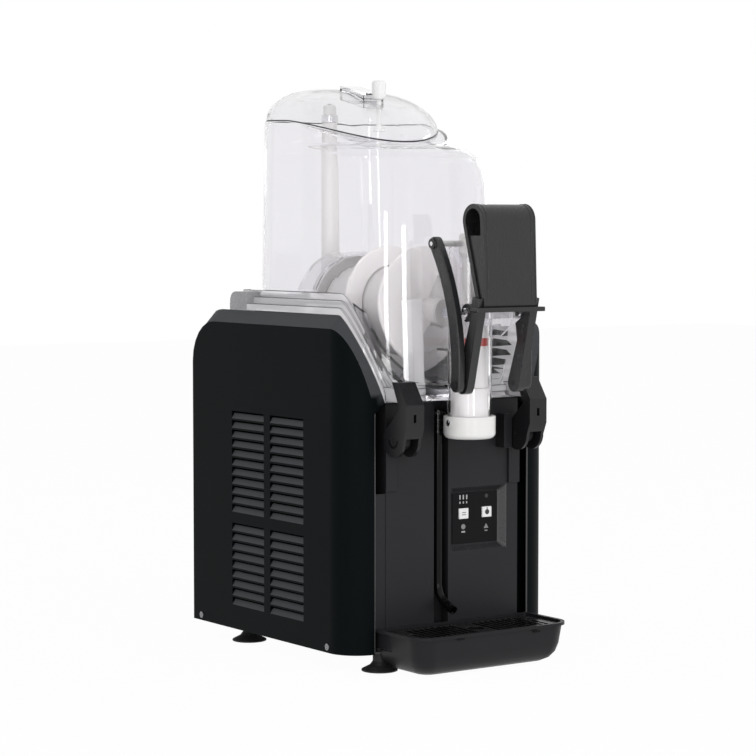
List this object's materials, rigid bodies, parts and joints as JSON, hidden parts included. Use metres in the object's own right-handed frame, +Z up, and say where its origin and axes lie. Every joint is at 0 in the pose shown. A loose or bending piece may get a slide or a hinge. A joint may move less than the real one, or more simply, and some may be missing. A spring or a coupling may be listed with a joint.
{
  "type": "slush machine",
  "caption": "Counter-top frozen drink machine: black louvred body, clear bowl with a spiral auger round a cold cylinder, domed lid, lever tap and drip tray.",
  "frame": {"origin": "centre of the bounding box's bottom, on the table", "axes": "+Z up, -Y towards the tap and the drip tray, +X to the right in a view along +Y"},
  "size_m": [0.2632, 0.398, 0.6019],
  "materials": {
    "black_panel": "fine textured",
    "dark_plastic": "satin",
    "black_plastic": "satin",
    "foot_rubber": "matte",
    "clear_plastic": "clear",
    "white_plastic": "gloss",
    "steel": "satin",
    "bright_steel": "polished",
    "seal_rubber": "satin",
    "pale_rubber": "satin",
    "grey_metal": "satin",
    "fin_metal": "satin",
    "board": "satin"
  },
  "bodies": {
    "base": {"base_pan": "grey_metal", "foot_front_left": "foot_rubber", "foot_front_right": "foot_rubber", "foot_rear_left": "foot_rubber", "foot_rear_right": "foot_rubber", "left_side_panel": "black_panel", "right_side_panel": "black_panel", "panel_screws": "bright_steel", "front_frame": "black_panel", "front_panel": "dark_plastic", "rear_panel": "black_panel", "cable_gland": "black_plastic", "mid_bulkhead": "steel", "deck": "steel", "rear_cover": "black_panel", "compressor": "black_panel", "condenser": "fin_metal", "fan_shroud": "black_plastic", "fan_motor": "steel", "gearmotor": "grey_metal", "control_board": "board", "control_plate": "black_plastic", "evaporator": "steel", "shaft_seal": "pale_rubber", "bowl_gasket": "pale_rubber", "front_bush": "white_plastic", "bowl": "clear_plastic", "light_post": "white_plastic", "post_ring": "bright_steel", "post_cap": "white_plastic", "spout_collar": "white_plastic", "latch_bracket_left": "dark_plastic", "latch_bracket_right": "dark_plastic", "latch_pin_left": "bright_steel", "latch_pin_right": "bright_steel", "drain_fitting": "black_plastic", "drain_hose": "black_plastic", "tray_arm_left": "black_plastic", "tray_arm_right": "black_plastic"},
    "auger": {"drive_shaft": "steel", "auger": "white_plastic"},
    "fan": {"fan": "white_plastic"},
    "lid": {"lid": "clear_plastic", "lid_knob": "white_plastic"},
    "lever": {"lever": "dark_plastic", "link_pin_left": "bright_steel", "link_pin_right": "bright_steel"},
    "rods": {"rod_left": "dark_plastic", "rod_right": "dark_plastic"},
    "piston": {"piston": "white_plastic", "piston_seal": "seal_rubber", "piston_pin": "bright_steel"},
    "latch_left": {"latch_left": "dark_plastic"},
    "latch_right": {"latch_right": "dark_plastic"},
    "drip_tray": {"drip_tray": "dark_plastic"},
    "drip_grille": {"drip_grille": "black_plastic"},
    "button_left": {"button_left": "white_plastic"},
    "button_right": {"button_right": "white_plastic"}
  },
  "joints": [
    {"name": "auger_turn", "type": "hinge", "parent": "base", "child": "auger", "pos_m": [0, -0.002, 0.36], "axis": [0, 1, 0], "continuous": true},
    {"name": "fan_turn", "type": "hinge", "parent": "base", "child": "fan", "pos_m": [-0.077, 0.048, 0.13], "axis": [1, 0, 0], "continuous": true},
    {"name": "lid_lift", "type": "slide", "parent": "base", "child": "lid", "axis": [0, 0, 1], "range_m": [0, 0.09]},
    {"name": "lever_pull", "type": "hinge", "parent": "base", "child": "lever", "pos_m": [0, -0.174, 0.363], "axis": [1, 0, 0], "range_deg": [0, 28]},
    {"name": "rod_link", "type": "hinge", "parent": "lever", "child": "rods", "pos_m": [0, -0.166, 0.291], "axis": [1, 0, 0], "range_deg": [-15, 0]},
    {"name": "piston_lift", "type": "slide", "parent": "base", "child": "piston", "axis": [0, 0, 1], "range_m": [0, 0.0165]},
    {"name": "latch_left_open", "type": "hinge", "parent": "base", "child": "latch_left", "pos_m": [-0.078, -0.122, 0.235], "axis": [1, 0, 0], "range_deg": [0, 75]},
    {"name": "latch_right_open", "type": "hinge", "parent": "base", "child": "latch_right", "pos_m": [0.078, -0.122, 0.235], "axis": [1, 0, 0], "range_deg": [0, 75]},
    {"name": "tray_slide", "type": "slide", "parent": "base", "child": "drip_tray", "axis": [0, -1, 0], "range_m": [0, 0.06]},
    {"name": "grille_lift", "type": "slide", "parent": "drip_tray", "child": "drip_grille", "axis": [0, 0, 1], "range_m": [0, 0.01]},
    {"name": "button_left_press", "type": "slide", "parent": "base", "child": "button_left", "axis": [0, 1, 0], "range_m": [0, 0.001], "stiffness_N_per_m": 400},
    {"name": "button_right_press", "type": "slide", "parent": "base", "child": "button_right", "axis": [0, 1, 0], "range_m": [0, 0.001], "stiffness_N_per_m": 400}
  ],
  "couplings": [
    {"joint": "rod_link", "follows": "lever_pull", "ratio": -0.52},
    {"joint": "piston_lift", "follows": "lever_pull", "m_per_rad": 0.033}
  ]
}
